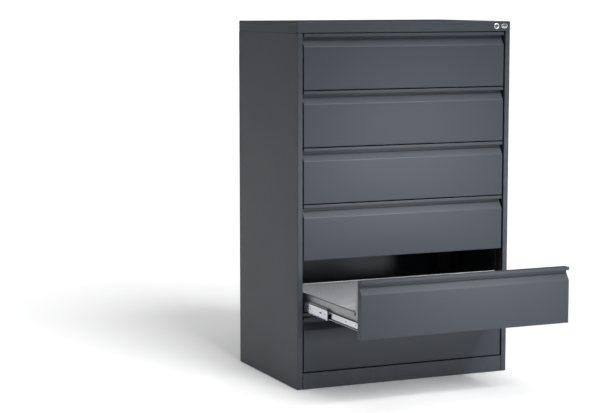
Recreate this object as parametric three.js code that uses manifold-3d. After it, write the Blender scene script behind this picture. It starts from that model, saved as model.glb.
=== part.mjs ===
// A six-drawer steel file cabinet: a folded sheet carcass on levelling feet, six drawers on full-extension
// ball slides, and a cylinder lock that lifts a bar with one lug for each drawer.
// Millimetres, +Z up, the front faces -Y. Drawer 1 is the top one, and drawer 5 stands open.

import * as THREE from 'three';
import { mergeVertices } from 'three/addons/utils/BufferGeometryUtils.js';
import Module from 'manifold-3d';

const wasm = await Module();
wasm.setup();

// ---- Driving dimensions

const width = 885;
const depth = 575;
const height = 1357;
const drawerCount = 6;
const openDrawer = 5;
const travel = 490;

const coverHeight = 37;
const plinthHeight = 62;
const gap = 4; // between neighbouring fronts
const skirtGap = 3.5; // between the side panels and the cover's skirt
const floorGap = 2; // the levelling feet hold the sheets clear of the floor
const touch = 0.3; // between pieces that touch
const past = 1; // how far a cutting shape runs past the face it opens

const panelSheet = 1.2;
const drawerSheet = 1;
const slideSheet = 1.2;

const sidePanel = { strip: 20.6, leg: 32, legReturn: 10, rearReturn: 25, bend: 3, innerBend: 1.6 };
const post = { width: 40, sheet: 1.5, places: [58, 380], proud: 0.5 };
const cover = { frontReturn: 14 };
const backPanel = { flange: 12, foot: 6 };
const plinth = { sideGap: 2, rear: 20, floorReturn: 15, flangeDrop: 4, flangeFront: 2 };
const footBracket = { reach: 38, width: 50, sheet: 3, level: 30, hole: 5.6, inset: 0.5 };
const foot = { pad: 15, padHeight: 8, rim: 1, shoulder: 3, stem: 5, stemTop: 50 };
const footPlace = { inset: 20, fromFront: 37, fromBack: 41 };

const front = { inset: 2.3, thickness: 28, sideGap: 5.5, lip: 12, web: 11, slope: 25, recess: 19 };
const frontBend = { foot: 2, slope: 7, web: 9, lip: 1.5 };
const tray = { length: 500, floor: 28, sideTop: 88, backTop: 118, plateTop: 194, plateFoot: 68, hem: 5 };
const trayFlange = { depth: 11, inset: 2.4 };
const catchTab = { reach: 9.5, bottom: 77.5, top: 87, setBack: 24, sheet: 2 };

const slide = { length: 500, axisHeight: 41.5, thickness: 12.7, runnerStart: 2, runnerShort: 4 };
const railSection = { open: 1.5, web: 12.7, half: 22.85, lip: 3.6 };
const runnerSection = { open: 1.6, web: 10.6, half: 18.25, lip: 3.2 };
const memberSection = { open: 8.2, web: 0.3, half: 13.5, lip: 0 };

const lock = { fromRight: 60, rosette: 11.3, rosetteDepth: 1.6, barrel: 9.5, bore: 6.6, length: 24 };
const plug = { radius: 6.2, proud: 2.2 };
const cam = { gap: 0.5, sheet: 2.5, width: 12, throw: 8, pin: 2.5, pinLength: 6 };
const keyway = { half: 0.9, halfHeight: 3.4, depth: 8 };
const lockBar = { outer: 437, inner: 426, front: 46, thickness: 6, foot: 70 };
const barLug = { height: 8, rise: 67.5, gap: 4 };
const barArm = { sheet: 2, below: 9, above: 6.7, slotSlack: 2.2, endSlack: 3, past: 14, gap: 1 };
const barGuide = { levels: [180, 690, 1200], sheet: 2, slack: 1 };

// ---- Places worked out from them

const pitch = (height - coverHeight - plinthHeight - gap) / drawerCount;
const halfWidth = width / 2;
const halfOpening = halfWidth - sidePanel.strip;
const postFace = halfOpening - post.proud;
const halfFront = halfOpening - front.sideGap;
const frontHeight = pitch - gap;
const halfTray = postFace - touch - slide.thickness - touch;
const trayFront = front.thickness + touch;
const slideFront = front.inset + trayFront + touch;
const coverBottom = height - coverHeight;
const lockX = halfWidth - lock.fromRight;
const lockZ = coverBottom + coverHeight / 2;

// The origin is the middle of the whole footprint, the open drawer included
const carcassFront = (travel - front.inset - depth) / 2;

const drawerBottom = (number) => plinthHeight + gap + (drawerCount - number) * pitch;

// ---- Finishes

function finish(color, roughness, metalness) {
  return new THREE.MeshStandardMaterial({ color, roughness, metalness });
}

const slateGrey = finish(0x3a3f45, 0.45, 0.1);
const galvanised = finish(0xb4b8bb, 0.4, 0.85);
const brightZinc = finish(0xd4d8da, 0.3, 0.9);
const chrome = finish(0xdfe2e4, 0.12, 1);
const darkSteel = finish(0x5a5d60, 0.5, 0.8);
const blackPlastic = finish(0x1c1d1f, 0.6, 0);

// ---- Shapes

function toSolid(geometry) {
  const plain = geometry.clone();
  plain.deleteAttribute('normal');
  plain.deleteAttribute('uv');
  const merged = mergeVertices(plain, 1e-4);
  return new wasm.Manifold(new wasm.Mesh({
    numProp: 3,
    vertProperties: new Float32Array(merged.attributes.position.array),
    triVerts: new Uint32Array(merged.index.array),
  }));
}

function toGeometry(solid) {
  const mesh = solid.getMesh();
  const geometry = new THREE.BufferGeometry();
  geometry.setAttribute('position', new THREE.BufferAttribute(mesh.vertProperties, 3));
  geometry.setIndex(new THREE.BufferAttribute(mesh.triVerts, 1));
  geometry.computeVertexNormals();
  return geometry;
}

const join = (...solids) => solids.reduce((whole, next) => whole.add(next));
const cut = (solid, ...tools) => tools.reduce((rest, tool) => rest.subtract(tool), solid);

function block([x0, x1], [y0, y1], [z0, z1]) {
  const geometry = new THREE.BoxGeometry(x1 - x0, y1 - y0, z1 - z0);
  geometry.translate((x0 + x1) / 2, (y0 + y1) / 2, (z0 + z1) / 2);
  return toSolid(geometry);
}

// An outline swept along one axis: (y, z) points along x, (x, z) points along y, (x, y) points along z
function sweep(axis, outline, from, to) {
  const shape = new THREE.Shape(outline.map(([u, v]) => new THREE.Vector2(u, v)));
  const geometry = new THREE.ExtrudeGeometry(shape, { depth: to - from, bevelEnabled: false });
  const [x, y, z] = [[1, 0, 0], [0, 1, 0], [0, 0, 1]].map((unit) => new THREE.Vector3(...unit));
  const turn = new THREE.Matrix4();
  geometry.translate(0, 0, axis === 'y' ? -to : from);
  if (axis === 'x') turn.makeBasis(y, z, x);
  if (axis === 'y') turn.makeBasis(x, z, y.negate());
  return toSolid(geometry.applyMatrix4(turn));
}

// A cylinder along y, or along z
function rod(axis, [u, v], radius, from, to, sides = 20) {
  const geometry = new THREE.CylinderGeometry(radius, radius, to - from, sides);
  if (axis === 'z') geometry.rotateX(Math.PI / 2);
  const middle = (from + to) / 2;
  geometry.translate(...(axis === 'z' ? [u, v, middle] : [u, middle, v]));
  return toSolid(geometry);
}

// The path moved sideways to its right, with mitred corners
function moved(path, distance) {
  const sideways = path.slice(1).map(([u, v], i) => {
    const [du, dv] = [u - path[i][0], v - path[i][1]];
    const length = Math.hypot(du, dv);
    return [dv / length, -du / length];
  });
  return path.map(([u, v], i) => {
    const before = sideways[Math.max(i - 1, 0)];
    const after = sideways[Math.min(i, sideways.length - 1)];
    const reach = distance / (1 + before[0] * after[0] + before[1] * after[1]);
    return [u + (before[0] + after[0]) * reach, v + (before[1] + after[1]) * reach];
  });
}

// A sheet folded along a path, its thickness laid to the right of the path
const folded = (path, sheet) => [...path, ...moved(path, sheet).reverse()];

// The path with its corners bent round: each point may carry a radius as its third number
function bent(path, steps = 3) {
  return path.flatMap(([u, v, radius], i) => {
    if (!radius) return [[u, v]];
    const corner = new THREE.Vector2(u, v);
    const toBefore = new THREE.Vector2(...path[i - 1].slice(0, 2)).sub(corner).normalize();
    const toAfter = new THREE.Vector2(...path[i + 1].slice(0, 2)).sub(corner).normalize();
    const halfAngle = Math.acos(toBefore.dot(toAfter)) / 2;
    const centre = toBefore.clone().add(toAfter).normalize().multiplyScalar(radius / Math.sin(halfAngle));
    const start = toBefore.clone().multiplyScalar(radius / Math.tan(halfAngle)).sub(centre);
    const turn = (Math.PI - 2 * halfAngle) * Math.sign(toAfter.cross(toBefore));
    return Array.from({ length: steps + 1 }, (_, step) => {
      const spoke = start.clone().rotateAround(new THREE.Vector2(), (turn * step) / steps);
      return spoke.add(centre).add(corner).toArray();
    });
  });
}

// ---- Carcass, drawn with y = 0 at its front plane

function sidePanelSolid() {
  const outside = bent([
    [halfWidth - sidePanel.rearReturn, depth],
    [halfWidth, depth],
    [halfWidth, 0, sidePanel.bend],
    [halfOpening, 0, sidePanel.innerBend],
    [halfOpening, sidePanel.leg],
    [halfOpening + sidePanel.legReturn, sidePanel.leg],
  ]);
  const skin = sweep('z', folded(outside, panelSheet), floorGap, coverBottom - skirtGap);
  const posts = post.places.map((place) => {
    const hat = [
      [halfWidth - panelSheet / 2, place],
      [postFace, place],
      [postFace, place + post.width],
      [halfWidth - panelSheet / 2, place + post.width],
    ];
    return sweep('z', folded(hat, post.sheet), floorGap, height - panelSheet - touch);
  });
  const insideSkirt = block(
    [halfWidth - panelSheet - touch, halfWidth],
    [past, depth - past],
    [coverBottom - skirtGap, height],
  );
  return cut(join(skin, ...posts), insideSkirt);
}

// Brackets on the front post that the lock bar slides through
function barGuides() {
  return barGuide.levels.map((level) => {
    const z = [level, level + barGuide.sheet];
    const ear = block(
      [lockBar.inner - 2 * barGuide.sheet, lockBar.outer + 2 * barGuide.sheet],
      [lockBar.front - 2 * barGuide.sheet, post.places[0] + post.sheet],
      z,
    );
    const hole = block(
      [lockBar.inner - barGuide.slack, lockBar.outer + barGuide.slack],
      [lockBar.front - barGuide.slack, lockBar.front + lockBar.thickness + barGuide.slack],
      [level - past, level + barGuide.sheet + past],
    );
    return cut(ear, hole);
  });
}

function topCoverSolid() {
  const corner = sidePanel.bend;
  const outside = bent([
    [0, 0],
    [halfWidth, 0, corner],
    [halfWidth, depth, corner],
    [-halfWidth, depth, corner],
    [-halfWidth, 0, corner],
    [-past, 0],
  ]);
  const [left, right] = [-halfWidth + panelSheet, halfWidth - panelSheet];
  return cut(
    sweep('z', outside, coverBottom, height),
    block([left, right], [panelSheet, depth - panelSheet], [coverBottom + panelSheet, height - panelSheet]),
    block([left, right], [cover.frontReturn, depth - panelSheet], [coverBottom - past, height - panelSheet]),
    rod('y', [lockX, lockZ], lock.barrel + touch, -past, panelSheet + past),
  );
}

function backPanelSolid() {
  const half = halfWidth - sidePanel.rearReturn - touch;
  const [bottom, top] = [backPanel.foot, coverBottom - skirtGap];
  return cut(
    block([-half, half], [depth - backPanel.flange, depth], [bottom, top]),
    block(
      [-half + panelSheet, half - panelSheet],
      [depth - backPanel.flange - past, depth - panelSheet],
      [bottom + panelSheet, top - panelSheet],
    ),
  );
}

function baseSolid() {
  const halfPlinth = halfOpening - plinth.sideGap;
  const halfFloor = postFace - touch;
  const rear = depth - plinth.rear;
  const flangeFront = sidePanel.leg + plinth.flangeFront;
  const flangeFoot = footBracket.level - plinth.flangeDrop;
  const profile = [
    [plinth.floorReturn, floorGap],
    [0, floorGap],
    [0, plinthHeight],
    [rear, plinthHeight],
    [rear, flangeFoot],
  ];
  const floor = sweep('x', folded(profile, panelSheet), -halfPlinth, halfPlinth);
  const corners = [-1, 1].flatMap((side) => {
    const across = (from, to) => [side * from, side * to].sort((a, b) => a - b);
    const flange = block(
      across(halfFloor - panelSheet, halfFloor),
      [flangeFront, rear],
      [flangeFoot, plinthHeight],
    );
    const strip = block(
      across(halfPlinth - past, halfFloor),
      [flangeFront, rear],
      [plinthHeight - panelSheet, plinthHeight],
    );
    const brackets = [
      [flangeFront, footPlace.fromFront],
      [rear - footBracket.width, depth - footPlace.fromBack],
    ];
    const plates = brackets.map(([start, hole]) => cut(
      block(
        across(halfFloor - footBracket.reach, halfFloor - footBracket.inset),
        [start, start + footBracket.width],
        [footBracket.level, footBracket.level + footBracket.sheet],
      ),
      rod('z', [side * (halfFloor - footPlace.inset), hole], footBracket.hole, 0, height / 2),
    ));
    return [flange, strip, ...plates];
  });
  return join(floor, ...corners);
}

function footGeometry() {
  const profile = [
    [0, 0],
    [foot.pad - foot.rim, 0],
    [foot.pad, foot.rim],
    [foot.pad, foot.padHeight - foot.shoulder],
    [foot.stem + foot.shoulder, foot.padHeight],
    [foot.stem, foot.padHeight],
    [foot.stem, foot.stemTop],
    [0, foot.stemTop],
  ];
  const geometry = new THREE.LatheGeometry(profile.map(([r, z]) => new THREE.Vector2(r, z)), 20);
  return geometry.rotateX(Math.PI / 2);
}

// ---- Drawer, drawn closed with y = 0 at its face and z = 0 at the bottom of its front

const recessTop = frontHeight - front.lip;
const faceTop = recessTop - front.web - front.slope;
const frontPath = bent([
  [front.thickness, 0],
  [0, 0, frontBend.foot],
  [0, faceTop, frontBend.slope],
  [front.recess, faceTop + front.slope, frontBend.web],
  [front.recess, recessTop],
  [0, recessTop, frontBend.lip],
  [0, frontHeight, frontBend.lip],
  [front.thickness, frontHeight],
]);

function drawerFrontSolid() {
  const inside = moved(frontPath, drawerSheet);
  const open = front.thickness + past;
  const hollow = [[open, inside[0][1]], ...inside.slice(1, -1), [open, inside.at(-1)[1]]];
  return cut(
    sweep('x', frontPath, -halfFront, halfFront),
    sweep('x', hollow, -halfFront + drawerSheet, halfFront - drawerSheet),
  );
}

function trayHalf() {
  const side = [
    [-past, tray.floor - drawerSheet],
    [halfTray, tray.floor - drawerSheet],
    [halfTray, tray.sideTop],
    [halfTray - tray.hem, tray.sideTop],
    [halfTray - tray.hem, tray.sideTop - tray.hem],
  ];
  const back = trayFront + tray.length;
  const plateHalf = halfFront - trayFlange.inset;
  const flangeBack = trayFront + trayFlange.depth;
  const tabFront = trayFront + catchTab.setBack;
  return join(
    sweep('y', folded(side, -drawerSheet), trayFront, back),
    block([-past, halfTray], [back - drawerSheet, back], [tray.floor - drawerSheet, tray.backTop]),
    block([-past, halfTray], [back - tray.hem, back], [tray.backTop - drawerSheet, tray.backTop]),
    block([-past, halfTray], [trayFront, trayFront + drawerSheet], [tray.floor - drawerSheet, tray.plateTop]),
    block([-past, plateHalf], [trayFront, trayFront + drawerSheet], [tray.plateFoot, tray.plateTop]),
    block([-past, plateHalf], [trayFront, flangeBack], [tray.plateTop - drawerSheet, tray.plateTop]),
    block([plateHalf - drawerSheet, plateHalf], [trayFront, flangeBack], [tray.plateFoot, tray.plateTop]),
    block(
      [halfTray - drawerSheet, halfTray + catchTab.reach],
      [tabFront, tabFront + catchTab.sheet],
      [catchTab.bottom, catchTab.top],
    ),
  );
}

function traySolid() {
  const half = trayHalf();
  return join(half, half.mirror([1, 0, 0]));
}

// A telescopic slide member: a channel with its web at one side and its lips at the other
function channelSolid({ open, web, half, lip }, from, to) {
  const path = [
    [open, half - lip],
    [open, half],
    [web, half],
    [web, -half],
    [open, -half],
    [open, -half + lip],
  ];
  const section = lip ? path : path.slice(1, -1);
  return sweep('y', folded(section, web > open ? slideSheet : -slideSheet), from, to);
}

// ---- Lock, drawn with y = 0 at the fascia's face and z = 0 on the cylinder's axis

function lockHousingSolid() {
  return cut(
    join(
      rod('y', [0, 0], lock.rosette, -lock.rosetteDepth - touch, -touch, 32),
      rod('y', [0, 0], lock.barrel, -past, lock.length, 24),
    ),
    rod('y', [0, 0], lock.bore, -lock.rosetteDepth - past, lock.length + past),
  );
}

function lockPlugSolid() {
  const camFront = lock.length + cam.gap;
  const camBack = camFront + cam.sheet;
  const half = cam.width / 2;
  const slot = block(
    [-keyway.half, keyway.half],
    [-plug.proud - past, keyway.depth],
    [-keyway.halfHeight, keyway.halfHeight],
  );
  return join(
    cut(rod('y', [0, 0], plug.radius, -plug.proud, camFront + past, 24), slot),
    block([-half, cam.throw + half - past], [camFront, camBack], [-half, half]),
    rod('y', [cam.throw, 0], cam.pin, camBack - past, camBack + cam.pinLength, 12),
  );
}

function lockBarSolid() {
  const back = lockBar.front + lockBar.thickness;
  const armFront = lock.length + cam.gap + cam.sheet + barArm.gap;
  const top = lockZ + barArm.above;
  const { outer, inner } = lockBar;
  const bar = block([inner, outer], [lockBar.front, back], [lockBar.foot, top]);
  const arm = cut(
    block([lockX - barArm.past, outer], [armFront, armFront + barArm.sheet], [lockZ - barArm.below, top]),
    block(
      [lockX - cam.pin - barArm.endSlack, lockX + cam.throw + cam.pin + barArm.endSlack],
      [armFront - past, armFront + barArm.sheet + past],
      [lockZ - cam.pin - barArm.slotSlack, lockZ + cam.pin + barArm.slotSlack],
    ),
  );
  const link = block([outer - barArm.sheet, outer], [armFront, back], [lockZ - barArm.below, top]);
  const lugs = Array.from({ length: drawerCount }, (_, index) => {
    const level = drawerBottom(index + 1) + barLug.rise;
    return block([halfTray + barLug.gap, outer], [lockBar.front, back], [level, level + barLug.height]);
  });
  return join(bar, arm, link, ...lugs);
}

// ---- Assembly

const cabinet = new THREE.Group();
const carcass = new THREE.Group();
carcass.position.y = carcassFront;
cabinet.add(carcass);

function place(parent, name, geometry, material, position = [0, 0, 0], mirrored = false) {
  const mesh = new THREE.Mesh(geometry, material);
  mesh.name = name;
  mesh.position.set(...position);
  mesh.scale.x = mirrored ? -1 : 1;
  parent.add(mesh);
}

const sides = [['left', true], ['right', false]];
const panel = sidePanelSolid();

place(carcass, 'side_panel_left', toGeometry(panel), slateGrey, [0, 0, 0], true);
place(carcass, 'side_panel_right', toGeometry(join(panel, ...barGuides())), slateGrey);
place(carcass, 'top_cover', toGeometry(topCoverSolid()), slateGrey);
place(carcass, 'back_panel', toGeometry(backPanelSolid()), slateGrey);
place(carcass, 'base', toGeometry(baseSolid()), slateGrey);

for (const [side, mirrored] of sides) {
  const x = (postFace - touch - footPlace.inset) * (mirrored ? -1 : 1);
  place(carcass, `foot_front_${side}`, footGeometry(), blackPlastic, [x, footPlace.fromFront, 0]);
  place(carcass, `foot_back_${side}`, footGeometry(), blackPlastic, [x, depth - footPlace.fromBack, 0]);
}

const slideEnd = slideFront + slide.length;
const rail = toGeometry(channelSolid(railSection, slideFront, slideEnd));
const runnerSpan = [slideFront + slide.runnerStart, slideEnd - slide.runnerShort];
const runner = toGeometry(channelSolid(runnerSection, ...runnerSpan));
const member = toGeometry(channelSolid(memberSection, slideFront, slideEnd));
const frontGeometry = toGeometry(drawerFrontSolid());
const trayGeometry = toGeometry(traySolid());

for (let number = 1; number <= drawerCount; number += 1) {
  const out = number === openDrawer ? travel : 0;
  const bottom = drawerBottom(number);
  const drawer = new THREE.Group();
  drawer.position.set(0, front.inset - out, bottom);
  carcass.add(drawer);
  place(drawer, `drawer_${number}_front`, frontGeometry, slateGrey);
  place(drawer, `drawer_${number}_tray`, trayGeometry, galvanised);
  for (const [side, mirrored] of sides) {
    const x = mirrored ? -halfTray : halfTray;
    const level = bottom + slide.axisHeight;
    place(carcass, `rail_${number}_${side}`, rail, brightZinc, [x, 0, level], mirrored);
    place(carcass, `runner_${number}_${side}`, runner, brightZinc, [x, -out / 2, level], mirrored);
    place(carcass, `slide_${number}_${side}`, member, brightZinc, [x, -out, level], mirrored);
  }
}

place(carcass, 'lock_housing', toGeometry(lockHousingSolid()), chrome, [lockX, 0, lockZ]);
place(carcass, 'lock_plug', toGeometry(lockPlugSolid()), chrome, [lockX, 0, lockZ]);
place(carcass, 'lock_bar', toGeometry(lockBarSolid()), darkSteel);

export default cabinet;
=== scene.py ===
import bpy, bmesh, math
from mathutils import Matrix, Vector


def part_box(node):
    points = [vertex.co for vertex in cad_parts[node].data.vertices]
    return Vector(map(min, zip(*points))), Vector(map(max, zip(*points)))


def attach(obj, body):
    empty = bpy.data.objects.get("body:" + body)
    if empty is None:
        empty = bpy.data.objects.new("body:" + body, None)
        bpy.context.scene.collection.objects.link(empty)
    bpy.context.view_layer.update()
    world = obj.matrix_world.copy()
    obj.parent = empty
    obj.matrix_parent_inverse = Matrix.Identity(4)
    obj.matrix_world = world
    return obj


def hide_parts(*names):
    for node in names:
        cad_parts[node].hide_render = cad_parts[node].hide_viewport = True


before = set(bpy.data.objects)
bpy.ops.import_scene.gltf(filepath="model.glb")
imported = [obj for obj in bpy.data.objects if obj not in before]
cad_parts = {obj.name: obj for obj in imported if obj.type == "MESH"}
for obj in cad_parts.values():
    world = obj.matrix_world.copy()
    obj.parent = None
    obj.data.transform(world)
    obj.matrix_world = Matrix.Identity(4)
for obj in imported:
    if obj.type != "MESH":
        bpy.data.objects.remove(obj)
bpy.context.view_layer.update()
mm = 0.001
drawers = range(1, 7)
sides = {"left": -1, "right": 1}
print("frame loaded,", len(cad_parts), "nodes")


# shader groups, each built once and placed in the materials with its own values

def newGroup(name, inputs, outputs):
    tree = bpy.data.node_groups.new(name, "ShaderNodeTree")
    for label, value in inputs.items():
        socket = tree.interface.new_socket(label, in_out="INPUT", socket_type="NodeSocketFloat")
        socket.default_value = value
    for label in outputs:
        tree.interface.new_socket(label, in_out="OUTPUT", socket_type="NodeSocketFloat")
    return tree, tree.nodes.new("NodeGroupInput"), tree.nodes.new("NodeGroupOutput")


def addNode(tree, kind, links=None, **settings):
    # links gives each input socket another node's output or a fixed value
    node = tree.nodes.new(kind)
    for key, value in settings.items():
        setattr(node, key, value)
    for key, value in (links or {}).items():
        if isinstance(value, bpy.types.NodeSocket):
            tree.links.new(value, node.inputs[key])
        else:
            node.inputs[key].default_value = value
    return node


def addMath(tree, operation, a, b):
    return addNode(tree, "ShaderNodeMath", {0: a, 1: b}, operation=operation).outputs[0]


def ramp(tree, value, low, high, toLow=0.0, toHigh=1.0):
    # value spread from low-high to toLow-toHigh, and held at the ends
    links = {"Value": value, "From Min": low, "From Max": high, "To Min": toLow, "To Max": toHigh}
    return addNode(tree, "ShaderNodeMapRange", links, clamp=True).outputs[0]


def powderCoatGroup():
    # the fine pebbled skin of a baked powder coat, and its slow changes of tone
    tree, given, result = newGroup(
        "powderCoat", {"Grain Scale": 900.0, "Cloud Scale": 3.0}, ["Tone", "Gloss", "Height"])
    where = addNode(tree, "ShaderNodeTexCoord").outputs["Object"]
    grain = addNode(tree, "ShaderNodeTexNoise",
                    {"Vector": where, "Scale": given.outputs["Grain Scale"], "Detail": 2.0, "Roughness": 0.6})
    cloud = addNode(tree, "ShaderNodeTexNoise",
                    {"Vector": where, "Scale": given.outputs["Cloud Scale"], "Detail": 3.0, "Roughness": 0.5})
    speckle = ramp(tree, grain.outputs[0], low=0.35, high=0.65)
    drift = ramp(tree, cloud.outputs[0], low=0.3, high=0.7)
    fine, slow = addMath(tree, "MULTIPLY", speckle, 0.45), addMath(tree, "MULTIPLY", drift, 0.55)
    tone = addMath(tree, "ADD", fine, slow)
    tree.links.new(tone, result.inputs["Tone"])
    tree.links.new(drift, result.inputs["Gloss"])
    tree.links.new(grain.outputs[0], result.inputs["Height"])
    return tree


def edgeRubGroup():
    # paint or plating rubbed thin on folded edges and corners
    tree, given, result = newGroup("edgeRub", {"Start": 0.53, "Patch Scale": 60.0}, ["Mask"])
    where = addNode(tree, "ShaderNodeTexCoord").outputs["Object"]
    sharp = addNode(tree, "ShaderNodeNewGeometry").outputs["Pointiness"]
    patch = addNode(tree, "ShaderNodeTexNoise", {
        "Vector": where, "Scale": given.outputs["Patch Scale"], "Detail": 4.0, "Roughness": 0.65})
    edge = ramp(tree, sharp, low=given.outputs["Start"], high=0.62)
    broken = ramp(tree, patch.outputs[0], low=0.42, high=0.66)
    tree.links.new(addMath(tree, "MULTIPLY", edge, broken), result.inputs["Mask"])
    return tree


def settledDustGroup():
    # a thin film that gathers on faces that look up
    tree, given, result = newGroup("settledDust", {"Patch Scale": 14.0, "Amount": 0.5}, ["Mask"])
    where = addNode(tree, "ShaderNodeTexCoord").outputs["Object"]
    normal = addNode(tree, "ShaderNodeNewGeometry").outputs["Normal"]
    facing = addNode(tree, "ShaderNodeSeparateXYZ", {0: normal})
    patch = addNode(tree, "ShaderNodeTexNoise", {
        "Vector": where, "Scale": given.outputs["Patch Scale"], "Detail": 6.0, "Roughness": 0.7})
    up = ramp(tree, facing.outputs["Z"], low=0.6, high=1.0)
    patchy = ramp(tree, patch.outputs[0], low=0.3, high=0.75)
    spread = addMath(tree, "MULTIPLY", patchy, given.outputs["Amount"])
    tree.links.new(addMath(tree, "MULTIPLY", up, spread), result.inputs["Mask"])
    return tree


def zincBloomGroup():
    # the faint crystal pattern of dipped zinc
    tree, given, result = newGroup("zincBloom", {"Crystal Scale": 160.0}, ["Tone", "Gloss"])
    where = addNode(tree, "ShaderNodeTexCoord").outputs["Object"]
    bend = addNode(tree, "ShaderNodeTexNoise", {"Vector": where, "Scale": 70.0, "Detail": 2.0})
    shift = addNode(tree, "ShaderNodeVectorMath", {0: bend.outputs["Color"], "Scale": 0.006},
                    operation="SCALE")
    shifted = addNode(tree, "ShaderNodeVectorMath", {0: where, 1: shift.outputs[0]}, operation="ADD")
    crystal = addNode(tree, "ShaderNodeTexVoronoi",
                      {"Vector": shifted.outputs[0], "Scale": given.outputs["Crystal Scale"]}, feature="F1")
    cell = addNode(tree, "ShaderNodeSeparateXYZ", {0: crystal.outputs["Color"]})
    cloud = addNode(tree, "ShaderNodeTexNoise", {"Vector": where, "Scale": 9.0, "Detail": 4.0})
    cellShare = addMath(tree, "MULTIPLY", cell.outputs["X"], 0.5)
    drift = ramp(tree, cloud.outputs[0], low=0.3, high=0.7)
    tone = addMath(tree, "ADD", cellShare, addMath(tree, "MULTIPLY", drift, 0.5))
    tree.links.new(tone, result.inputs["Tone"])
    tree.links.new(cell.outputs["Y"], result.inputs["Gloss"])
    return tree


def rolledGrainGroup():
    # drawing lines left along the length of rolled steel strip
    tree, given, result = newGroup("rolledGrain", {"Line Scale": 900.0, "Stretch": 0.02}, ["Lines", "Stain"])
    where = addNode(tree, "ShaderNodeTexCoord").outputs["Object"]
    along = addNode(tree, "ShaderNodeCombineXYZ", {"X": 1.0, "Y": given.outputs["Stretch"], "Z": 1.0})
    pulled = addNode(tree, "ShaderNodeVectorMath", {0: where, 1: along.outputs[0]}, operation="MULTIPLY")
    lines = addNode(tree, "ShaderNodeTexNoise",
                    {"Vector": pulled.outputs[0], "Scale": given.outputs["Line Scale"], "Detail": 3.0})
    stain = addNode(tree, "ShaderNodeTexNoise", {
        "Vector": where, "Scale": 25.0, "Detail": 5.0, "Roughness": 0.7})
    tree.links.new(lines.outputs[0], result.inputs["Lines"])
    tree.links.new(ramp(tree, stain.outputs[0], low=0.35, high=0.7), result.inputs["Stain"])
    return tree


powderCoat = powderCoatGroup()
edgeRub = edgeRubGroup()
settledDust = settledDustGroup()
zincBloom = zincBloomGroup()
rolledGrain = rolledGrainGroup()
print("shader groups ready")


# the finishes

def startMaterial(name, **constants):
    # constants are set on the shader itself, with _ for a space in a socket's name
    material = bpy.data.materials.new(name)
    material.use_nodes = True
    tree = material.node_tree
    shader = tree.nodes["Principled BSDF"]
    for key, value in constants.items():
        shader.inputs[key.replace("_", " ")].default_value = value
    return material, tree, shader


def placeGroup(tree, group, **values):
    node = tree.nodes.new("ShaderNodeGroup")
    node.node_tree = group
    for key, value in values.items():
        node.inputs[key.replace("_", " ")].default_value = value
    return node.outputs


def blendColours(tree, share, first, second):
    node = addNode(tree, "ShaderNodeMix", data_type="RGBA")
    for socket, value in ((node.inputs[0], share), (node.inputs[6], first), (node.inputs[7], second)):
        if isinstance(value, bpy.types.NodeSocket):
            tree.links.new(value, socket)
        else:
            socket.default_value = value
    return node.outputs[2]


def addBump(tree, shader, height, strength, distance):
    bump = addNode(tree, "ShaderNodeBump", {"Height": height, "Strength": strength, "Distance": distance})
    tree.links.new(bump.outputs[0], shader.inputs["Normal"])


slatePaint = {
    "deep": (0.0285, 0.0335, 0.0430, 1), "pale": (0.0310, 0.0360, 0.0455, 1), "rubbed": (0.16, 0.17, 0.18, 1),
    "dust": (0.20, 0.20, 0.195, 1), "smooth": 0.44, "rough": 0.48, "bump": 0.20, "bumpDepth": 0.00012,
    "ior": 1.36, "dustAmount": 0.06, "dustDulls": 0.3, "rubShows": 0.1,
}


def makeSlatePaint():
    look = slatePaint
    material, tree, shader = startMaterial("slate_powder_coat", Metallic=0.0, IOR=look["ior"])
    coat = placeGroup(tree, powderCoat)
    rub = placeGroup(tree, edgeRub)["Mask"]
    dust = placeGroup(tree, settledDust, Amount=look["dustAmount"])["Mask"]
    colour = blendColours(tree, coat["Tone"], look["deep"], look["pale"])
    colour = blendColours(tree, addMath(tree, "MULTIPLY", rub, look["rubShows"]), colour, look["rubbed"])
    colour = blendColours(tree, dust, colour, look["dust"])
    tree.links.new(colour, shader.inputs["Base Color"])
    clean = ramp(tree, coat["Gloss"], 0.0, 1.0, look["smooth"], look["rough"])
    dusty = addMath(tree, "MULTIPLY", dust, look["dustDulls"])
    tree.links.new(addMath(tree, "ADD", clean, dusty), shader.inputs["Roughness"])
    addBump(tree, shader, coat["Height"], look["bump"], look["bumpDepth"])
    return material


metals = {
    "galvanised": {
        "name": "galvanised_sheet", "dark": (0.27, 0.275, 0.285, 1), "light": (0.30, 0.305, 0.315, 1),
        "smooth": 0.40, "rough": 0.45, "grain": (zincBloom, "Tone", "Gloss"), "bump": 0.0},
    "zinc": {
        "name": "bright_zinc_strip", "dark": (0.16, 0.18, 0.21, 1), "light": (0.80, 0.82, 0.84, 1),
        "smooth": 0.14, "rough": 0.26, "grain": (rolledGrain, "Lines", "Stain"), "bump": 0.2},
    "chrome": {
        "name": "polished_chrome", "dark": (0.74, 0.75, 0.76, 1), "light": (0.86, 0.87, 0.88, 1),
        "smooth": 0.26, "rough": 0.36, "grain": (rolledGrain, "Stain", "Stain"), "bump": 0.0},
    # the plug's dark colour is painted shade: it darkens the centre of the lock in place of the shade in the
    # keyway
    "plug": {
        "name": "plug_metal_painted_shade", "dark": (0.10, 0.10, 0.11, 1), "light": (0.20, 0.20, 0.21, 1),
        "smooth": 0.30, "rough": 0.42, "grain": (rolledGrain, "Stain", "Stain"), "bump": 0.0},
    "steel": {
        "name": "dull_steel", "dark": (0.22, 0.22, 0.23, 1), "light": (0.34, 0.34, 0.35, 1),
        "smooth": 0.35, "rough": 0.55, "grain": (rolledGrain, "Lines", "Stain"), "bump": 0.25},
}
metalWear = {"start": 0.52, "shows": 0.5, "brighter": 1.12, "bumpDepth": 0.0001}


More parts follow.
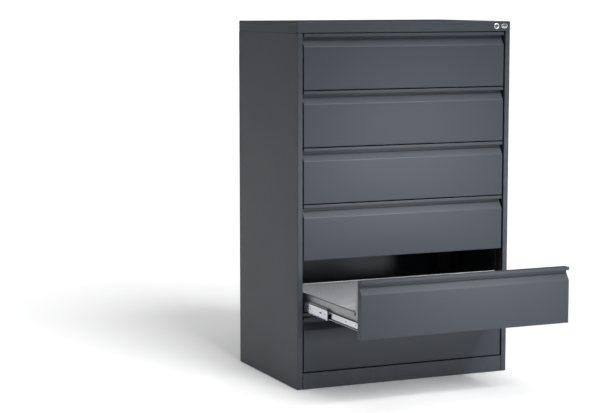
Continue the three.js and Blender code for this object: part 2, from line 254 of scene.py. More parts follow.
def makeMetal(look):
    material, tree, shader = startMaterial(look["name"], Metallic=1.0)
    group, tone, gloss = look["grain"]
    found = placeGroup(tree, group)
    rub = placeGroup(tree, edgeRub, Start=metalWear["start"])["Mask"]
    rubbed = tuple(c * metalWear["brighter"] for c in look["light"][:3]) + (1,)
    colour = blendColours(tree, found[tone], look["dark"], look["light"])
    colour = blendColours(tree, addMath(tree, "MULTIPLY", rub, metalWear["shows"]), colour, rubbed)
    tree.links.new(colour, shader.inputs["Base Color"])
    roughness = ramp(tree, found[gloss], 0.2, 0.8, look["smooth"], look["rough"])
    tree.links.new(roughness, shader.inputs["Roughness"])
    if look["bump"]:
        addBump(tree, shader, found[tone], look["bump"], metalWear["bumpDepth"])
    return material


mouldings = {
    "plastic": {"name": "black_moulding", "dark": (0.012, 0.012, 0.014, 1), "light": (0.022, 0.022, 0.024, 1),
                "smooth": 0.42, "rough": 0.6},
    "rubber": {"name": "foot_rubber", "dark": (0.018, 0.018, 0.018, 1), "light": (0.030, 0.030, 0.029, 1),
               "smooth": 0.7, "rough": 0.85},
}
mouldedSkin = {
    "specular": 0.45, "grain": 1600.0, "cloud": 20.0, "rubbed": (0.09, 0.09, 0.09, 1), "bump": 0.15,
    "bumpDepth": 0.00008,
}


def makeMoulding(look):
    skin = mouldedSkin
    material, tree, shader = startMaterial(look["name"], Specular_IOR_Level=skin["specular"])
    coat = placeGroup(tree, powderCoat, Grain_Scale=skin["grain"], Cloud_Scale=skin["cloud"])
    rub = placeGroup(tree, edgeRub)["Mask"]
    colour = blendColours(tree, coat["Tone"], look["dark"], look["light"])
    tree.links.new(blendColours(tree, rub, colour, skin["rubbed"]), shader.inputs["Base Color"])
    roughness = ramp(tree, coat["Gloss"], 0.0, 1.0, look["smooth"], look["rough"])
    tree.links.new(roughness, shader.inputs["Roughness"])
    addBump(tree, shader, coat["Height"], skin["bump"], skin["bumpDepth"])
    return material


materials = {"paint": makeSlatePaint()}
for finish, look in metals.items():
    materials[finish] = makeMetal(look)
for finish, look in mouldings.items():
    materials[finish] = makeMoulding(look)
print("materials ready")


# tools for folded sheet and other meshes

def bentPath(path, steps=6):
    # each point may carry a bend radius as its third number
    points = []
    for i, (u, v, *radius) in enumerate(path):
        corner = Vector((u, v))
        if not radius:
            points.append(corner)
            continue
        back = (Vector(path[i - 1][:2]) - corner).normalized()
        on = (Vector(path[i + 1][:2]) - corner).normalized()
        half = math.acos(max(-1, min(1, back.dot(on)))) / 2
        middle = (back + on).normalized() * (radius[0] / math.sin(half))
        spoke = back * (radius[0] / math.tan(half)) - middle
        turn = math.pi - 2 * half
        if on.cross(back) < 0:
            turn = -turn
        for step in range(steps + 1):
            points.append(corner + middle + Matrix.Rotation(turn * step / steps, 2) @ spoke)
    return points


def movedPath(path, distance):
    # the path set off to its right, with mitred corners
    normals = []
    for before, after in zip(path, path[1:]):
        run = (after - before).normalized()
        normals.append(Vector((run.y, -run.x)))
    moved = []
    for i, point in enumerate(path):
        a = normals[max(i - 1, 0)]
        b = normals[min(i, len(normals) - 1)]
        moved.append(point + (a + b) * (distance / (1 + a.dot(b))))
    return moved


def meshFrom(name, verts, faces):
    mesh = bpy.data.meshes.new(name)
    mesh.from_pydata([tuple(v) for v in verts], [], faces)
    mesh.validate()
    return mesh


axisPlaces = {
    "x": lambda u, v, w: (w, u, v),
    "y": lambda u, v, w: (u, w, v),
    "z": lambda u, v, w: (u, v, w),
}
weld = 1e-6


def sweptMesh(name, outline, axis, start, end):
    # a closed outline drawn out along one axis
    put = axisPlaces[axis]
    count = len(outline)
    verts = [put(p.x, p.y, w) for w in (start, end) for p in outline]
    faces = [(i, (i + 1) % count, count + (i + 1) % count, count + i) for i in range(count)]
    faces += [tuple(range(count - 1, -1, -1)), tuple(range(count, 2 * count))]
    mesh = meshFrom(name, verts, faces)
    tidyNormals(mesh)
    return mesh


def tidyNormals(mesh):
    shape = bmesh.new()
    shape.from_mesh(mesh)
    bmesh.ops.remove_doubles(shape, verts=shape.verts, dist=weld)
    bmesh.ops.recalc_face_normals(shape, faces=shape.faces)
    shape.to_mesh(mesh)
    shape.free()


def foldedMesh(name, path, sheet, axis, start, end):
    # a sheet folded along a path; a negative sheet lies to the left of the path
    outer = bentPath(path)
    return sweptMesh(name, outer + movedPath(outer, sheet)[::-1], axis, start, end)


def turnedMesh(name, profile, steps=48):
    # a profile of (radius, y) points turned about the y axis
    verts, faces = [], []
    rows = len(profile)
    for step in range(steps):
        angle = 2 * math.pi * step / steps
        verts += [(r * math.cos(angle), y, r * math.sin(angle)) for r, y in profile]
    for step in range(steps):
        here, there = step * rows, (step + 1) % steps * rows
        faces += [(here + i, here + i + 1, there + i + 1, there + i) for i in range(rows - 1)]
    mesh = meshFrom(name, verts, faces)
    tidyNormals(mesh)
    return mesh


def joinMeshes(name, meshes):
    whole = bmesh.new()
    for mesh in meshes:
        whole.from_mesh(mesh)
    mesh = bpy.data.meshes.new(name)
    whole.to_mesh(mesh)
    whole.free()
    return mesh


def boxMesh(low, high):
    corners = [(x, y, z) for x in (low[0], high[0]) for y in (low[1], high[1]) for z in (low[2], high[2])]
    faces = [(0, 1, 3, 2), (4, 6, 7, 5), (0, 4, 5, 1), (2, 3, 7, 6), (0, 2, 6, 4), (1, 5, 7, 3)]
    return meshFrom("box", corners, faces)


def movedMesh(mesh, matrix, name=None):
    copy = mesh.copy()
    copy.transform(matrix)
    if matrix.determinant() < 0:
        copy.flip_normals()
    if name:
        copy.name = name
    return copy


def newPiece(name, mesh, look, body, nodes=(), rounding=0.0, segments=2, sharp=35):
    # one finished piece: smoothed, edges rounded, painted and set on its body
    piece = bpy.data.objects.new(name, mesh)
    bpy.context.scene.collection.objects.link(piece)
    mesh.materials.clear()
    mesh.materials.append(materials[look])
    mesh.shade_smooth()
    mesh.set_sharp_from_angle(angle=math.radians(sharp))
    if rounding:
        bevel = piece.modifiers.new("rounded edges", "BEVEL")
        bevel.width = rounding
        bevel.segments = segments
        bevel.limit_method = "ANGLE"
        bevel.angle_limit = math.radians(40)
        bevel.use_clamp_overlap = True
        weighted = piece.modifiers.new("flat faces stay flat", "WEIGHTED_NORMAL")
        weighted.keep_sharp = False
    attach(piece, body)
    if nodes:
        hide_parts(*nodes)


def bakedMesh(piece):
    # the piece's mesh with its modifiers worked in
    bpy.context.view_layer.update()
    return bpy.data.meshes.new_from_object(piece.evaluated_get(bpy.context.evaluated_depsgraph_get()))


def withModifier(mesh, kind, **settings):
    holder = bpy.data.objects.new("holder", mesh)
    bpy.context.scene.collection.objects.link(holder)
    modifier = holder.modifiers.new("work", kind)
    for key, value in settings.items():
        setattr(modifier, key, value)
    made = bakedMesh(holder)
    bpy.data.objects.remove(holder)
    return made


def cutMesh(mesh, cutterMesh):
    cutter = bpy.data.objects.new("cutter", cutterMesh)
    bpy.context.scene.collection.objects.link(cutter)
    made = withModifier(mesh, "BOOLEAN", operation="DIFFERENCE", object=cutter, solver="EXACT")
    bpy.data.objects.remove(cutter)
    return made


def cadMesh(node):
    # a copy of a CAD node with its flat faces made whole again
    shape = bmesh.new()
    shape.from_mesh(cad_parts[node].data)
    bmesh.ops.remove_doubles(shape, verts=shape.verts, dist=weld)
    flat = math.radians(0.6)
    bmesh.ops.dissolve_limit(shape, angle_limit=flat, verts=shape.verts, edges=shape.edges)
    mesh = bpy.data.meshes.new(node)
    shape.to_mesh(mesh)
    shape.free()
    return mesh


# the studio

camera = {
    "place": (-2.9913, -5.9103, 1.4495), "turn": 23.562, "tilt": 6.795, "lens": 105.64, "sensor": 36,
    "far": 100,
}


def setCamera():
    data = bpy.data.cameras.new("camera")
    data.lens = camera["lens"]
    data.sensor_width = camera["sensor"]
    data.clip_end = camera["far"]
    stand = bpy.data.objects.new("camera", data)
    stand.location = camera["place"]
    stand.rotation_euler = (math.radians(90 - camera["tilt"]), 0, math.radians(-camera["turn"]))
    bpy.context.scene.collection.objects.link(stand)
    bpy.context.scene.camera = stand


lamps = {
    "key": {"kind": "SUN", "at": (0.9, -5.6, 4.6), "to": (0, 0, 0), "power": 2.35, "angle": 28},
    "top": {"kind": "SUN", "at": (0.3, -1.2, 5.0), "to": (0, 0, 0), "power": 1.5, "angle": 70},
    "high": {"kind": "SPOT", "at": (1.9, -3.3, 3.4), "to": (0, 0, 0.55), "power": 800, "angle": 19},
    "low": {"kind": "SPOT", "at": (2.0, -4.8, 0.95), "to": (-0.06, 0, 0.42), "power": 520, "angle": 20},
}
spotSize = 0.3
studio = {"white": (1, 1, 1, 1), "fill": 0.1, "reach": 40.0, "backdropGlow": 1.1}


def setLights():
    for name, lamp in lamps.items():
        data = bpy.data.lights.new(name, lamp["kind"])
        data.energy = lamp["power"]
        if lamp["kind"] == "SUN":
            data.angle = math.radians(lamp["angle"])
        else:
            data.spot_size = math.radians(lamp["angle"])
            data.spot_blend = 1
            data.shadow_soft_size = spotSize
        light = bpy.data.objects.new(name, data)
        light.location = lamp["at"]
        aim = Vector(lamp["to"]) - light.location
        light.rotation_euler = aim.to_track_quat("-Z", "Y").to_euler()
        light.visible_camera = False
        bpy.context.scene.collection.objects.link(light)
    world = bpy.data.worlds.new("studio")
    world.use_nodes = True
    sky = world.node_tree.nodes["Background"]
    sky.inputs["Color"].default_value = studio["white"]
    sky.inputs["Strength"].default_value = studio["fill"]
    bpy.context.scene.world = world
    bpy.context.scene.view_settings.view_transform = "Standard"


floorLook = {
    "dark": (0.90, 0.90, 0.905, 1), "pale": (0.92, 0.92, 0.925, 1), "grain": 40.0, "cloud": 1.5,
    "rough": 0.9, "specular": 0.1, "glow": 0.13,
}


def layFloor():
    reach, look = studio["reach"], floorLook
    corners = [(-reach, -reach, 0), (reach, -reach, 0), (reach, reach, 0), (-reach, reach, 0)]
    mesh = meshFrom("floor", corners, [(0, 1, 2, 3)])
    floor = bpy.data.objects.new("floor", mesh)
    material, tree, shader = startMaterial(
        "studio_floor", Roughness=look["rough"], Specular_IOR_Level=look["specular"],
        Emission_Color=studio["white"], Emission_Strength=look["glow"])
    grain = placeGroup(tree, powderCoat, Grain_Scale=look["grain"], Cloud_Scale=look["cloud"])
    tree.links.new(blendColours(tree, grain["Tone"], look["dark"], look["pale"]), shader.inputs["Base Color"])
    mesh.materials.append(material)
    bpy.context.scene.collection.objects.link(floor)


def hangBackdrop():
    # a plain white shell far behind everything, which lights nothing
    reach = studio["reach"]
    backdrop = bpy.data.objects.new("backdrop", boxMesh((-reach, -reach, -1), (reach, reach, reach)))
    material = startMaterial("studio_white", Base_Color=(0, 0, 0, 1), Roughness=1.0,
                             Emission_Color=studio["white"], Emission_Strength=studio["backdropGlow"])[0]
    backdrop.data.materials.append(material)
    for kind in ("diffuse", "glossy", "transmission", "shadow"):
        setattr(backdrop, "visible_" + kind, False)
    bpy.context.scene.collection.objects.link(backdrop)


setCamera()
setLights()
layFloor()
hangBackdrop()
print("studio ready")


# the carcass: sheet metal that does not move

near = 0.01 * mm
postSlots = {
    "posts": (78 * mm, 400 * mm), "face": 421.4 * mm, "depth": 3 * mm, "rows": 44, "first": 70 * mm,
    "pitch": 28 * mm, "height": 12 * mm, "width": 3.2 * mm, "apart": 18 * mm, "edge": 0.3 * mm,
}


def makeSidePanels():
    # two columns of hook slots are punched down the face of each post
    slots = postSlots
    for side, sign in sides.items():
        node = "side_panel_" + side
        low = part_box(node)[0]
        x = sorted(sign * (slots["face"] + step * slots["depth"]) for step in (-1, 1))
        cutters = []
        for post in slots["posts"]:
            for row in range(slots["rows"]):
                z = slots["first"] + row * slots["pitch"]
                for step in (-0.5, 0.5):
                    y = low.y + post + step * slots["apart"]
                    cutters.append(boxMesh((x[0], y - slots["width"] / 2, z),
                                           (x[1], y + slots["width"] / 2, z + slots["height"])))
        mesh = cutMesh(cadMesh(node), joinMeshes("slots", cutters))
        newPiece(node + "_sheet", mesh, "paint", "carcass", [node], slots["edge"])


coverShape = {
    "sheet": 1.2 * mm, "corner": 2.6 * mm, "cornerSteps": 5, "return": 14 * mm, "lockHole": 9.8 * mm,
    "holeReach": 10 * mm, "edge": 0.25 * mm,
}


def makeTopCover():
    # a pan with rounded corners, open below, whose front edge is folded back under
    shape = coverShape
    low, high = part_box("top_cover")
    pan = bmesh.new()
    pan.from_mesh(boxMesh(low, high))
    underside = [f for f in pan.faces if f.calc_center_median().z < low.z + near]
    bmesh.ops.delete(pan, geom=underside, context="FACES_ONLY")
    rounded = [e for e in pan.edges if max(v.co.z for v in e.verts) > high.z - near]
    bmesh.ops.bevel(pan, geom=rounded, offset=shape["corner"], segments=shape["cornerSteps"], affect="EDGES",
                    profile=0.5)
    bottom = [e for e in pan.edges if e.is_boundary and max(v.co.y for v in e.verts) < low.y + near]
    folded = bmesh.ops.extrude_edge_only(pan, edges=bottom)["geom"]
    for vert in folded:
        if isinstance(vert, bmesh.types.BMVert):
            vert.co.y += shape["return"]
    bmesh.ops.recalc_face_normals(pan, faces=pan.faces)
    mesh = bpy.data.meshes.new("cover")
    pan.to_mesh(mesh)
    pan.free()
    mesh = withModifier(mesh, "SOLIDIFY", thickness=shape["sheet"], offset=-1, use_even_offset=True)
    lockLow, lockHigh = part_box("lock_housing")
    centre = (lockLow + lockHigh) / 2
    radius, reach = shape["lockHole"], shape["holeReach"]
    hole = turnedMesh("hole", [(0, -reach), (radius, -reach), (radius, reach), (0, reach)])
    hole.transform(Matrix.Translation((centre.x, low.y, centre.z)))
    newPiece("top_cover_sheet", cutMesh(mesh, hole), "paint", "carcass", ["top_cover"], shape["edge"])


liner = {
    "sheet": 1 * mm, "front": 14.2 * mm, "side": 1.5 * mm, "back": 14.5 * mm, "up": 2 * mm, "down": 7 * mm,
    "clear": 0.8 * mm, "strip": 20 * mm, "skin": 1.4 * mm, "edge": 0.2 * mm,
}


def makeCoverLiner():
    # a rebate frame inside the skirt, which closes the gap above the panels and the top drawer
    low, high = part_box("top_cover")
    sheet, strip, skin = liner["sheet"], liner["strip"], liner["skin"]
    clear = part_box("drawer_1_front")[1].z + liner["clear"]
    top, foot = low.z + liner["up"], low.z - liner["down"]
    left, right = low.x + liner["side"], high.x - liner["side"]
    front, back = low.y + liner["front"], high.y - liner["back"]
    corner = low.y + skin
    strips = [
        boxMesh((left, front, clear), (right, front + sheet, top)),
        boxMesh((low.x + skin, corner, clear), (low.x + strip, corner + sheet, top)),
        boxMesh((high.x - strip, corner, clear), (high.x - skin, corner + sheet, top)),
        boxMesh((left, back - sheet, foot), (right, back, top)),
        boxMesh((left, front + sheet, foot), (left + sheet, high.y - skin, top)),
        boxMesh((right - sheet, front + sheet, foot), (right, high.y - skin, top)),
    ]
    newPiece("cover_liner", joinMeshes("liner", strips), "paint", "carcass", rounding=liner["edge"])


backSheet = {"seam": 1.6 * mm, "edge": 0.8 * mm, "baseEdge": 0.35 * mm}
rivet = {
    "radius": 3.2 * mm, "rim": 0.3 * mm, "crown": 0.75, "shoulder": 0.7 * mm, "dome": 0.9 * mm, "steps": 20,
    "rows": 7, "end": 60 * mm, "edge": 7 * mm,
}


def makeBackAndBase():
    # the back panel stands in a narrow seam, with a row of blind rivets down each edge
    seam = backSheet["seam"]
    low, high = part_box("back_panel")
    middle = (low + high) / 2
    mesh = cadMesh("back_panel")
    for vert in mesh.vertices:
        vert.co.x -= math.copysign(seam, vert.co.x - middle.x)
    newPiece("back_panel_sheet", mesh, "paint", "carcass", ["back_panel"], backSheet["edge"])
    face = high.y - rivet["dome"]
    profile = [(0, 0), (rivet["radius"], 0), (rivet["radius"], rivet["rim"]),
               (rivet["radius"] * rivet["crown"], rivet["shoulder"]), (0, rivet["dome"])]
    pitch = (high.z - low.z - 2 * rivet["end"]) / (rivet["rows"] - 1)
    heads = []
    for row in range(rivet["rows"]):
        z = low.z + rivet["end"] + row * pitch
        for x in (low.x + seam + rivet["edge"], high.x - seam - rivet["edge"]):
            head = turnedMesh("rivet", profile, rivet["steps"])
            heads.append(movedMesh(head, Matrix.Translation((x, face, z))))
    newPiece("back_panel_rivets", joinMeshes("rivets", heads), "paint", "carcass")
    newPiece("base_sheet", cadMesh("base"), "paint", "carcass", ["base"], backSheet["baseEdge"])


foot = {
    "pad": 15 * mm, "padHeight": 8 * mm, "rim": 1.4 * mm, "bevel": 0.4 * mm, "band": 4.4 * mm,
    "step": 0.6 * mm, "stepTop": 5.4 * mm, "neck": 8.6 * mm, "stem": 5 * mm, "sunk": 0.5 * mm,
    "pitch": 1.5 * mm, "thread": 0.7 * mm, "point": 0.8 * mm, "top": 50 * mm, "steps": 24,
}
footNut = {"bore": 5.4 * mm, "radius": 9 * mm, "low": 33.3 * mm, "high": 39 * mm, "edge": 0.4 * mm}


def makeFeet():
    # outlines are (radius, height), turned about the foot's upright axis
    pad, padHeight, stem = foot["pad"], foot["padHeight"], foot["stem"]
    sunk = padHeight - foot["sunk"]
    padOutline = [(0, 0), (pad - foot["rim"], 0), (pad - foot["bevel"], foot["bevel"]), (pad, foot["rim"]),
                  (pad, foot["band"]), (pad - foot["step"], foot["stepTop"]), (foot["neck"], padHeight),
                  (0, padHeight)]
    stemOutline = [(0, sunk), (stem, sunk)]
    turns = int((foot["top"] - padHeight) / foot["pitch"]) - 1
    for turn in range(turns):
        z = padHeight + (turn + 0.5) * foot["pitch"]
        stemOutline += [(stem, z), (stem - foot["thread"], z + foot["pitch"] / 2)]
    stemOutline += [(stem - foot["point"], foot["top"]), (0, foot["top"])]
    bore, nutLow, nutHigh = footNut["bore"], footNut["low"], footNut["high"]
    nutOutline = [(bore, nutLow), (footNut["radius"], nutLow), (footNut["radius"], nutHigh), (bore, nutHigh),
                  (bore, nutLow)]
    upright = Matrix.Rotation(math.radians(90), 4, "X")
    for end in ("front", "back"):
        for side in sides:
            node = f"foot_{end}_{side}"
            low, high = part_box(node)
            place = Matrix.Translation(((low.x + high.x) / 2, (low.y + high.y) / 2, 0)) @ upright
            newPiece(node + "_pad", movedMesh(turnedMesh("pad", padOutline), place), "rubber", node, [node])
            newPiece(node + "_stem", movedMesh(turnedMesh("stem", stemOutline, foot["steps"]), place),
                     "zinc", node)
            newPiece(node + "_nut", movedMesh(turnedMesh("nut", nutOutline, 6), place), "zinc", "carcass",
                     rounding=footNut["edge"])


makeSidePanels()
makeTopCover()
makeCoverLiner()
makeBackAndBase()
makeFeet()
print("carcass ready")


# the drawers: a folded front and a folded tray each

frontShape = {
    "sheet": 1 * mm, "thickness": 28 * mm, "lip": 12 * mm, "web": 11 * mm, "slope": 25 * mm,
    "recess": 19 * mm, "footBend": 2 * mm, "slopeBend": 7 * mm, "webBend": 9 * mm, "lipRoot": 0.8 * mm,
    "lipBend": 1.6 * mm, "bendSteps": 7, "edge": 1.2 * mm, "edgeSteps": 5,
}


def drawerFrontMesh(low, high):
    # the side outline of the pan drawn across, smaller towards each end so that the end folds are rounded
    shape = frontShape
    top = high.z - low.z
    under = top - shape["lip"]
    face = under - shape["web"] - shape["slope"]
    thick, recess = shape["thickness"], shape["recess"]
    profile = bentPath([
        (thick, 0), (0, 0, shape["footBend"]), (0, face, shape["slopeBend"]),
        (recess, face + shape["slope"], shape["webBend"]), (recess, under, shape["lipRoot"]),
        (0, under, shape["lipBend"]), (0, top, shape["lipBend"]), (thick, top),
    ], shape["bendSteps"])
    edge = shape["edge"]
    stations = []
    for step in range(shape["edgeSteps"] + 1):
        angle = math.pi / 2 * step / shape["edgeSteps"]
        stations.append((low.x + edge * (1 - math.cos(angle)), edge * (1 - math.sin(angle))))
    stations += [(low.x + high.x - x, inset) for x, inset in stations[::-1]]
    verts, faces = [], []
    rows = len(profile)
    for x, inset in stations:
        verts += [(x, low.y + p.x, low.z + p.y) for p in movedPath(profile, inset)]
    for i in range(len(stations) - 1):
        here, there = i * rows, (i + 1) * rows
        faces += [(here + j, here + j + 1, there + j + 1, there + j) for j in range(rows - 1)]
    faces += [tuple(range(rows)), tuple(range(len(verts) - 1, len(verts) - rows - 1, -1))]
    mesh = meshFrom("front", verts, faces)
    shell = bmesh.new()
    shell.from_mesh(mesh)
    bmesh.ops.recalc_face_normals(shell, faces=shell.faces)
    middle = max(shell.faces, key=lambda f: f.calc_area())
    if middle.normal.y > 0:
        bmesh.ops.reverse_faces(shell, faces=shell.faces)
    shell.to_mesh(mesh)
    shell.free()
    return withModifier(mesh, "SOLIDIFY", thickness=shape["sheet"], offset=-1)


# heights are from the foot of the front's bay
trayShape = {
    "sheet": 1 * mm, "floor": 27 * mm, "sideTop": 88 * mm, "backTop": 118 * mm, "plateFoot": 68 * mm,
    "plateTop": 194 * mm, "hem": 5 * mm, "roll": 2.4 * mm, "bend": 1.5 * mm, "flange": 11 * mm,
    "edge": 0.2 * mm,
}
catchTab = {"reach": 9.5 * mm, "back": 24 * mm, "sheet": 2 * mm, "foot": 77.5 * mm, "top": 87 * mm}


def trayMesh(low, high, halfBody):
    # one folded body with rolled sides, a rolled back wall, the flanged plate behind the front, and the tabs
    shape = trayShape
    sheet, hem, roll, bend = shape["sheet"], shape["hem"], shape["roll"], shape["bend"]
    base = low.z - shape["floor"]
    floor, sideTop, backTop = base + shape["floor"], base + shape["sideTop"], base + shape["backTop"]
    plateFoot, plateTop = base + shape["plateFoot"], base + shape["plateTop"]
    halfPlate = (high.x - low.x) / 2
    flangeEnd = low.y + shape["flange"]

    def hemmed(side):
        inner = side * (halfBody - hem)
        return [(inner, sideTop - hem), (inner, sideTop, roll), (side * halfBody, sideTop, roll)]

    body = hemmed(-1) + [(-halfBody, floor, bend), (halfBody, floor, bend)] + hemmed(1)[::-1]
    back = [(high.y, floor), (high.y, backTop, sheet), (high.y - hem, backTop, sheet),
            (high.y - hem, backTop - hem)]
    plate = [(-halfPlate, flangeEnd), (-halfPlate, low.y, bend), (halfPlate, low.y, bend),
             (halfPlate, flangeEnd)]
    meshes = [
        foldedMesh("body", body, -sheet, "y", low.y, high.y),
        foldedMesh("back", back, -sheet, "x", -halfBody + sheet, halfBody - sheet),
        foldedMesh("plate", plate, -sheet, "z", plateFoot, plateTop - sheet),
        boxMesh((-halfPlate, low.y, plateTop - sheet), (halfPlate, flangeEnd, plateTop)),
        boxMesh((-halfBody + sheet, low.y, floor), (halfBody - sheet, low.y + sheet, plateFoot)),
    ]
    for side in sides.values():
        x = sorted((side * (halfBody - sheet), side * (halfBody + catchTab["reach"])))
        y = low.y + catchTab["back"]
        meshes.append(boxMesh((x[0], y, base + catchTab["foot"]),
                              (x[1], y + catchTab["sheet"], base + catchTab["top"])))
    return joinMeshes("tray", meshes)


# slide members in section: how far out from the tray, and half their height
sections = {
    "rail": {"open": 1.5 * mm, "web": 12.7 * mm, "half": 22.85 * mm, "lip": 3.6 * mm},
    "runner": {"open": 1.6 * mm, "web": 10.6 * mm, "half": 18.25 * mm, "lip": 3.2 * mm},
    "slide": {"open": 8.2 * mm, "web": 0.3 * mm, "half": 13.5 * mm, "lip": 0},
}
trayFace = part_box("slide_1_right")[0].x - sections["slide"]["web"]


def makeDrawers():
    low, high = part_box("drawer_1_front")
    front = drawerFrontMesh(low, high)
    tray = trayMesh(*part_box("drawer_1_tray"), trayFace)
    for number in drawers:
        name = f"drawer_{number}"
        place = Matrix.Translation(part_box(name + "_front")[0] - low)
        newPiece(name + "_front_panel", movedMesh(front, place, f"front_{number}"), "paint", name,
                 [name + "_front"])
        newPiece(name + "_tray_sheet", movedMesh(tray, place, f"tray_{number}"), "galvanised", name,
                 [name + "_tray"], trayShape["edge"])


makeDrawers()
print("drawers ready")


# telescopic slides: drawn with y along the slide, x out from the tray and z on the slide's middle

channel = {"sheet": 1.2 * mm, "race": 2.6 * mm, "lipBend": 1.4 * mm, "cut": 3 * mm, "edge": 0.15 * mm}
channelHoles = {  # (from the front end, width, height)
    "rail": [(y * mm, 9 * mm, 5 * mm) for y in (14, 60, 224, 380, 470)],
    "runner": [(y * mm, 6 * mm, 6 * mm) for y in (22, 150, 350)] + [(60 * mm, 18 * mm, 5 * mm)],
    "slide": [(y * mm, 8 * mm, 4.6 * mm) for y in (30, 110, 260, 420)],
}


def channelPath(kind, grow=0.0):
    part = sections[kind]
    half = part["half"] - grow
    web = part["web"] - grow
    bend = channel["race"]
    path = [(part["open"], half), (web, half, bend), (web, -half, bend), (part["open"], -half)]
    if part["lip"]:
        path[0] += (channel["lipBend"],)
        path[-1] += (channel["lipBend"],)
        path = [(part["open"], half - part["lip"])] + path + [(part["open"], -half + part["lip"])]
    return path


def slotOutline(y, width, height, steps=20):
    outline = []
    for step in range(steps):
        angle = 2 * math.pi * step / steps
        flat = (width - height) / 2 * (1 if math.cos(angle) > 0 else -1)
        outline.append(Vector((y + flat + height / 2 * math.cos(angle), height / 2 * math.sin(angle))))
    return outline


def channelMesh(kind, length):
    thick = channel["sheet"] if sections[kind]["lip"] else -channel["sheet"]
    web, cut = sections[kind]["web"], channel["cut"]
    cutters = []
    for hole in channelHoles[kind]:
        cutters.append(sweptMesh("hole", slotOutline(*hole), "x", web - cut, web + cut))
    strip = foldedMesh(kind, channelPath(kind), thick, "y", 0, length)
    return cutMesh(strip, joinMeshes("holes", cutters))


cage = {
    "pitch": 13 * mm, "count": 13, "width": 6.4 * mm, "window": 4.2 * mm, "bridge": 3.4 * mm,
    "sheet": 0.5 * mm, "from": 8 * mm, "outside": 1.72 * mm,
}
ball = {"radius": 1.6 * mm, "around": 12, "over": 8}


def ballMesh(centre):
    work = bmesh.new()
    bmesh.ops.create_uvsphere(work, u_segments=ball["around"], v_segments=ball["over"], radius=ball["radius"])
    bmesh.ops.translate(work, verts=work.verts, vec=centre)
    mesh = bpy.data.meshes.new("ball")
    work.to_mesh(mesh)
    work.free()
    return mesh


def cageMeshes(level, across):
    # a strip with a window for each ball, and the balls
    strips, balls = [], []
    start, pitch, count, bridge = cage["from"], cage["pitch"], cage["count"], cage["bridge"]
    half, gap = cage["width"] / 2, cage["window"] / 2
    low, high = level - cage["sheet"] / 2, level + cage["sheet"] / 2
    for edge in (-1, 1):
        x = sorted((across + edge * half, across + edge * gap))
        strips.append(boxMesh((x[0], start, low), (x[1], start + count * pitch, high)))
    for i in range(count + 1):
        y = start + i * pitch
        strips.append(boxMesh((across - gap, y - bridge if i else y, low), (across + gap, y + bridge, high)))
    for i in range(count):
        balls.append(ballMesh((across, start + (i + 0.5) * pitch, level)))
    return strips, balls


endCap = {
    "sheet": 1.5 * mm, "from": -1.5 * mm, "to": 9 * mm, "rim": 2.6 * mm, "rimFrom": -2.1 * mm,
    "rimTo": -0.2 * mm, "edge": 0.25 * mm,
}


def fittingMeshes():
    # what the middle member carries: its moulded end cap, and the ball cages above and below
    inside, outside = channelPath("runner", channel["sheet"]), channelPath("runner")
    cap = foldedMesh("cap", inside, endCap["sheet"], "y", endCap["from"], endCap["to"])
    rim = foldedMesh("rim", outside, endCap["rim"], "y", endCap["rimFrom"], endCap["rimTo"])
    runner = sections["runner"]
    strips, balls = [], []
    for level in (-1, 1):
        made = cageMeshes(level * (runner["half"] + cage["outside"]), (runner["open"] + runner["web"]) / 2)
        strips += made[0]
        balls += made[1]
    return {
        "cap": (joinMeshes("cap", [cap, rim]), "plastic", endCap["edge"]),
        "cage": (joinMeshes("cage", strips), "zinc", 0.0),
        "balls": (joinMeshes("balls", balls), "chrome", 0.0),
    }


def makeSlides():
    meshes = {}
    for kind in sections:
        low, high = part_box(f"{kind}_1_right")
        meshes[kind] = channelMesh(kind, high.y - low.y)
    fittings = fittingMeshes()
    for number in drawers:
        bodies = {"rail": "carcass", "runner": f"runners_{number}", "slide": f"drawer_{number}"}
        for side, sign in sides.items():
            places = {}
            for kind in sections:
                node = f"{kind}_{number}_{side}"
                low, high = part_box(node)
                start = Matrix.Translation((sign * trayFace, low.y, (low.z + high.z) / 2))
                places[kind] = start @ Matrix.Diagonal((sign, 1, 1, 1))
                newPiece(node + "_channel", movedMesh(meshes[kind], places[kind], node), "zinc", bodies[kind],
                         [node], channel["edge"])
            for name, (mesh, look, rounding) in fittings.items():
                newPiece(f"runner_{number}_{side}_{name}", movedMesh(mesh, places["runner"]), look,
                         bodies["runner"], rounding=rounding)


makeSlides()
print("slides ready")


# the lock and the plain badge: outlines are (radius, how far in) in millimetres

lock = {
    "housing": [(6.6, 24), (6.6, -1.2), (7.2, -1.75), (9.4, -1.9), (10.7, -1.6), (11.3, -0.9), (11.3, -0.3),
                (9.5, -0.3), (9.5, 23.6), (9.1, 24), (6.6, 24)],
    "barrel": [(0, -0.9), (4.6, -0.9), (4.9, -1.6), (5.6, -1.6), (6.2, -1.0), (6.2, 25), (0, 25)],
    "pin": [(0, 26), (2.5, 26), (2.5, 32.4), (2, 33), (0, 33)],
    "keyway": ((-0.6, -4, -3.6), (0.6, 9, 3.6)), "ward": ((-1.1, -4.2, -1.2), (0.2, 9.2, 1.1)),
    "cam": ((-6, 24.5, -6), (13, 27, 6)), "camEdge": 0.9 * mm, "throw": 8 * mm, "barEdge": 0.3 * mm,
}


def inMetres(points):
    return [tuple(value * mm for value in point) for point in points]


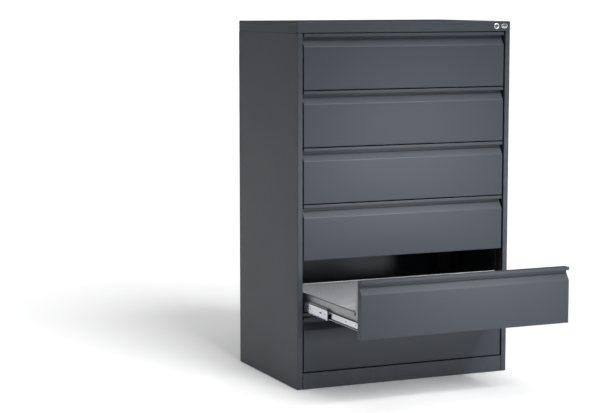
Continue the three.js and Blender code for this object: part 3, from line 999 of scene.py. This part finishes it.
def makeLock():
    low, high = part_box("lock_housing")
    centre = (low + high) / 2
    place = Matrix.Translation((centre.x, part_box("top_cover")[0].y, centre.z))
    housing = turnedMesh("housing", inMetres(lock["housing"]), 64)
    newPiece("lock_housing_body", movedMesh(housing, place), "chrome", "carcass", ["lock_housing"], sharp=50)
    plug = turnedMesh("plug", inMetres(lock["barrel"]), 48)
    for cutter in ("keyway", "ward"):
        plug = cutMesh(plug, boxMesh(*inMetres(lock[cutter])))
    # the barrel takes the dark plug metal, painted shade for the centre of the lock
    newPiece("lock_plug_barrel", movedMesh(plug, place), "plug", "lock_plug", ["lock_plug"], sharp=40)
    newPiece("lock_cam", movedMesh(boxMesh(*inMetres(lock["cam"])), place), "steel", "lock_plug",
             rounding=lock["camEdge"], segments=3)
    pin = movedMesh(turnedMesh("pin", inMetres(lock["pin"]), 24), Matrix.Translation((lock["throw"], 0, 0)))
    newPiece("lock_cam_pin", movedMesh(pin, place), "zinc", "lock_plug")
    newPiece("lock_bar_strip", cadMesh("lock_bar"), "steel", "lock_bar", ["lock_bar"], lock["barEdge"])


badge = {
    "wide": 14.2 * mm, "high": 9.2 * mm, "fromRight": 26 * mm, "thick": 1.4 * mm, "rim": 1.7 * mm,
    "sunk": 0.05 * mm, "bevel": 0.4 * mm, "play": 0.2 * mm, "dish": 0.8 * mm,
    "pin": [(0, -1.5), (0.8, -1.4), (1.3, -1.0), (1.4, -0.5)], "pinPlace": 7 * mm,
}


def ovalMesh(rows, steps=64):
    # rings of (half width, half height, y), closed at each end
    verts, faces = [], []
    for wide, high, y in rows:
        for step in range(steps):
            angle = 2 * math.pi * step / steps
            verts.append((wide * math.cos(angle), y, high * math.sin(angle)))
    for row in range(len(rows) - 1):
        a, b = row * steps, (row + 1) * steps
        faces += [(a + i, a + (i + 1) % steps, b + (i + 1) % steps, b + i) for i in range(steps)]
    faces += [tuple(range(steps)), tuple(range(len(verts) - steps, len(verts)))]
    mesh = meshFrom("oval", verts, faces)
    tidyNormals(mesh)
    return mesh


def makeBadge():
    # a blank oval plate: a raised rim, a dished field and two rivets
    low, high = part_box("top_cover")
    place = Matrix.Translation((high.x - badge["fromRight"], low.y, (low.z + high.z) / 2))
    thick = badge["thick"]

    def ring(inset, y):
        return badge["wide"] - inset, badge["high"] - inset, y

    inner = badge["rim"] + badge["bevel"]
    field = inner + badge["play"]
    rim = [ring(0, -badge["sunk"]), ring(0, -thick * 0.6), ring(badge["bevel"], -thick),
           ring(badge["rim"], -thick), ring(inner, -thick * 0.55)]
    newPiece("badge_rim", movedMesh(ovalMesh(rim), place), "chrome", "carcass", sharp=40)
    dish = [ring(field, -thick * 0.5), ring(field, -thick * 0.62), ring(field + badge["dish"], -thick * 0.72)]
    newPiece("badge_field", movedMesh(ovalMesh(dish), place), "zinc", "carcass", sharp=40)
    rivets = []
    for side in sides.values():
        pin = turnedMesh("rivet", inMetres(badge["pin"]), 20)
        rivets.append(movedMesh(pin, Matrix.Translation((side * badge["pinPlace"], 0, 0))))
    newPiece("badge_rivets", movedMesh(joinMeshes("rivets", rivets), place), "steel", "carcass")


makeLock()
makeBadge()
print("lock and badge ready")
